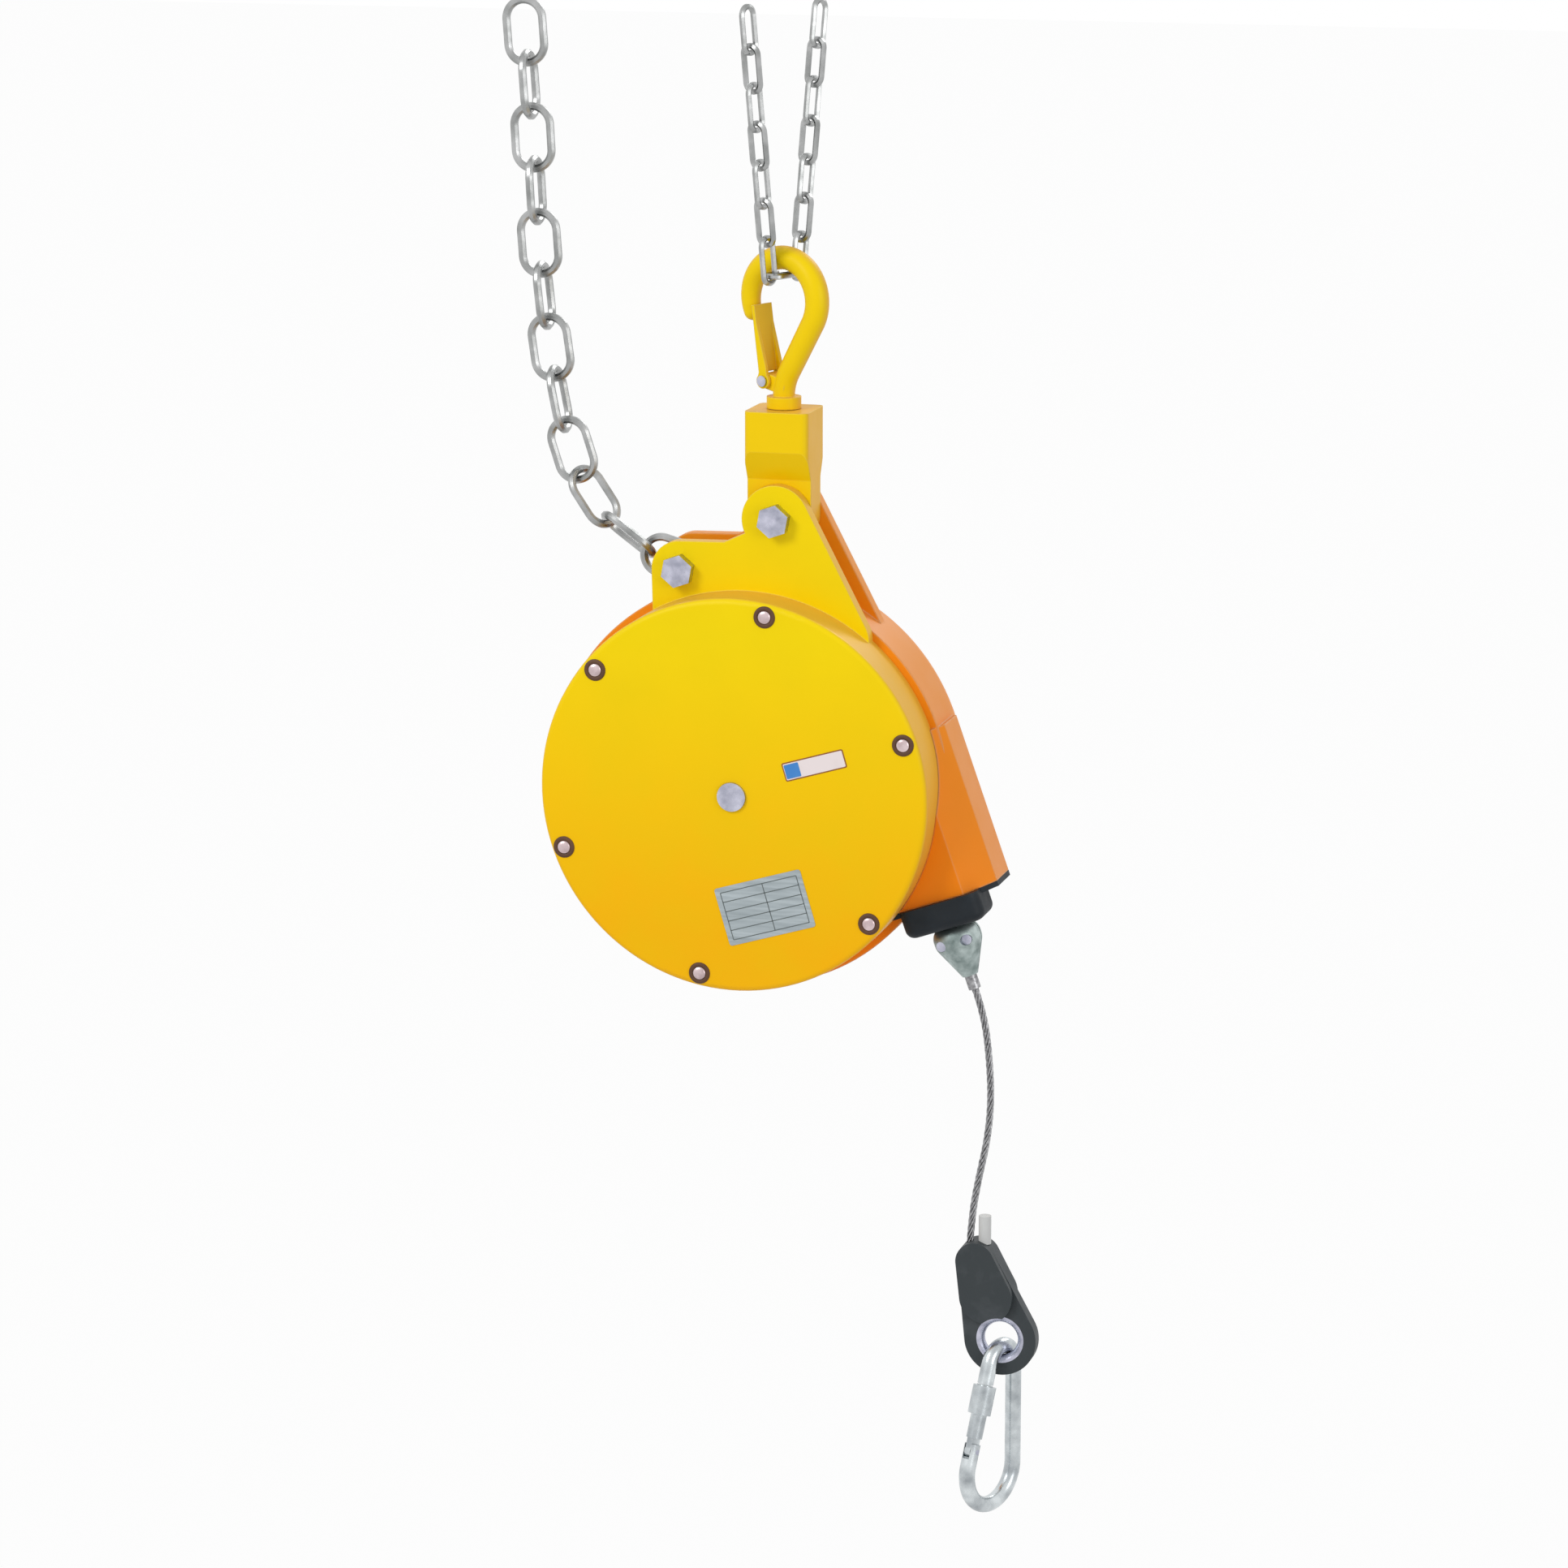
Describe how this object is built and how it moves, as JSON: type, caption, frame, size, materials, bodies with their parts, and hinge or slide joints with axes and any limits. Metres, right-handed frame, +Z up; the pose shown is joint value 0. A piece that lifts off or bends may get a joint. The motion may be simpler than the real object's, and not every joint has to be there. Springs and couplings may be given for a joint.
{
  "type": "tool balancer",
  "caption": "Hanging spring tool balancer: round cast housing on a swivel hook, safety chain, rope outlet snout, wire rope and snap hook.",
  "frame": {"origin": "seat inside the top of the hook's bowl, where the sling chain carries the balancer", "axes": "+Z up along the hook's swivel axis; +X towards the rope outlet; -Y out of the round cover's flat face"},
  "size_m": [0.3078, 0.089, 0.8382],
  "materials": {
    "yellow_paint": "glossy machinery enamel over forged and machined steel",
    "yellow_casting": "glossy machinery enamel over an aluminium casting",
    "orange_casting": "glossy machinery enamel, deeper orange, over an aluminium casting",
    "zinc": "zinc plated steel, satin",
    "chain_steel": "bright welded steel chain, lightly soiled",
    "black_steel": "blackened screws",
    "rope_steel": "stranded galvanised steel rope",
    "stop_casting": "sand cast, grey green cast skin",
    "rubber": "matt black rubber",
    "black_plastic": "moulded dark grey cover",
    "white_plastic": "white sleeve",
    "bronze": "sintered bronze bush",
    "drum_aluminium": "machined casting",
    "spring_steel": "blued spring strip",
    "snap_steel": "zinc plated wire, satin"
  },
  "bodies": {
    "sling": {"sling_bottom_link": "chain_steel", "sling_front_strand": "chain_steel", "sling_rear_strand": "chain_steel"},
    "hook": {"hook": "yellow_paint", "latch_pin": "zinc", "hook_nut": "zinc", "hook_split_pin": "zinc"},
    "latch": {"hook_latch": "yellow_paint"},
    "yoke": {"yoke": "yellow_paint", "thrust_washer": "zinc", "yoke_bush": "bronze"},
    "housing": {"front_cover": "yellow_casting", "rear_housing": "orange_casting", "cover_screws": "black_steel", "axle": "zinc", "spring_arbor": "zinc", "outlet_bush": "black_plastic", "bumper": "rubber", "pivot_bolt": "zinc", "pivot_nut": "zinc", "chain_bolt": "zinc", "chain_nut": "zinc"},
    "drum": {"drum": "drum_aluminium", "drum_cover": "drum_aluminium", "drum_bearings": "bronze", "mainspring": "spring_steel", "rope_wraps": "rope_steel"},
    "rope_feed": {"rope_lead": "rope_steel", "rope_stop_front": "stop_casting", "rope_stop_rear": "stop_casting", "stop_screws": "zinc", "stop_ferrule": "rope_steel"},
    "rope_end": {"wire_rope": "rope_steel", "rope_tail": "white_plastic", "wedge_socket": "black_plastic", "thimble": "zinc"},
    "snap_hook": {"snap_hook_body": "snap_steel", "gate_rivet": "zinc"},
    "snap_gate": {"snap_gate": "snap_steel"},
    "lock_sleeve": {"lock_sleeve": "snap_steel"},
    "safety_chain_lower": {"safety_link_07": "chain_steel", "safety_link_08": "chain_steel", "safety_link_09": "chain_steel", "safety_link_10": "chain_steel", "safety_link_11": "chain_steel", "safety_link_12": "chain_steel"},
    "safety_chain_upper": {"safety_link_01": "chain_steel", "safety_link_02": "chain_steel", "safety_link_03": "chain_steel", "safety_link_04": "chain_steel", "safety_link_05": "chain_steel", "safety_link_06": "chain_steel"}
  },
  "joints": [
    {"name": "hook_swing", "type": "hinge", "parent": "sling", "child": "hook", "pos_m": [0, 0, -0.0165], "axis": [-0.3907, -0.9205, 0], "range_deg": [-15, 15]},
    {"name": "latch_hinge", "type": "hinge", "parent": "hook", "child": "latch", "pos_m": [-0.00829, 0.00352, -0.061], "axis": [-0.3907, -0.9205, 0], "range_deg": [-30, 0], "stiffness_Nm_per_rad": 0.03, "springref_deg": 20.05},
    {"name": "hook_swivel", "type": "hinge", "parent": "hook", "child": "yoke", "pos_m": [0, 0, -0.076], "axis": [0, 0, 1], "continuous": true},
    {"name": "yoke_pivot", "type": "hinge", "parent": "yoke", "child": "housing", "pos_m": [0, 0, -0.135], "axis": [0, -1, 0], "range_deg": [-24, 8]},
    {"name": "drum_spin", "type": "hinge", "parent": "housing", "child": "drum", "pos_m": [-0.01745, 0, -0.28493], "axis": [0, 1, 0], "range_deg": [0, 1350]},
    {"name": "rope_feed", "type": "slide", "parent": "housing", "child": "rope_feed", "axis": [0.3338, 0, -0.9426], "range_m": [0, 2], "stiffness_N_per_m": 15, "springref_m": -2},
    {"name": "rope_swing", "type": "hinge", "parent": "rope_feed", "child": "rope_end", "pos_m": [0.11117, -0.006, -0.39352], "axis": [0, -1, 0], "range_deg": [-20, 20], "stiffness_Nm_per_rad": 0.3},
    {"name": "snap_swing", "type": "hinge", "parent": "rope_end", "child": "snap_hook", "pos_m": [0.128, -0.006, -0.6097], "axis": [0.9063, -0.4226, 0], "range_deg": [-12, 12]},
    {"name": "gate_hinge", "type": "hinge", "parent": "snap_hook", "child": "snap_gate", "pos_m": [0.11693, -0.02975, -0.65368], "axis": [0.9063, -0.4226, 0], "range_deg": [-22, 0], "stiffness_Nm_per_rad": 0.02, "springref_deg": 22.92},
    {"name": "sleeve_slide", "type": "slide", "parent": "snap_gate", "child": "lock_sleeve", "axis": [0.1332, 0.2857, 0.949], "range_m": [0, 0.008]},
    {"name": "safety_chain_swing", "type": "hinge", "parent": "housing", "child": "safety_chain_lower", "pos_m": [-0.0546, 0, -0.16505], "axis": [0, -1, 0], "range_deg": [-13.34, 39.02]},
    {"name": "safety_chain_bend", "type": "hinge", "parent": "safety_chain_lower", "child": "safety_chain_upper", "pos_m": [-0.13539, 0, -0.0331], "axis": [0, -1, 0], "range_deg": [-28.34, 9.78]}
  ],
  "couplings": [
    {"joint": "drum_spin", "follows": "rope_feed", "rad_per_m": 11.765},
    {"joint": "safety_chain_swing", "follows": "yoke_pivot", "ratio": -1.605},
    {"joint": "safety_chain_bend", "follows": "yoke_pivot", "ratio": 1.16}
  ]
}
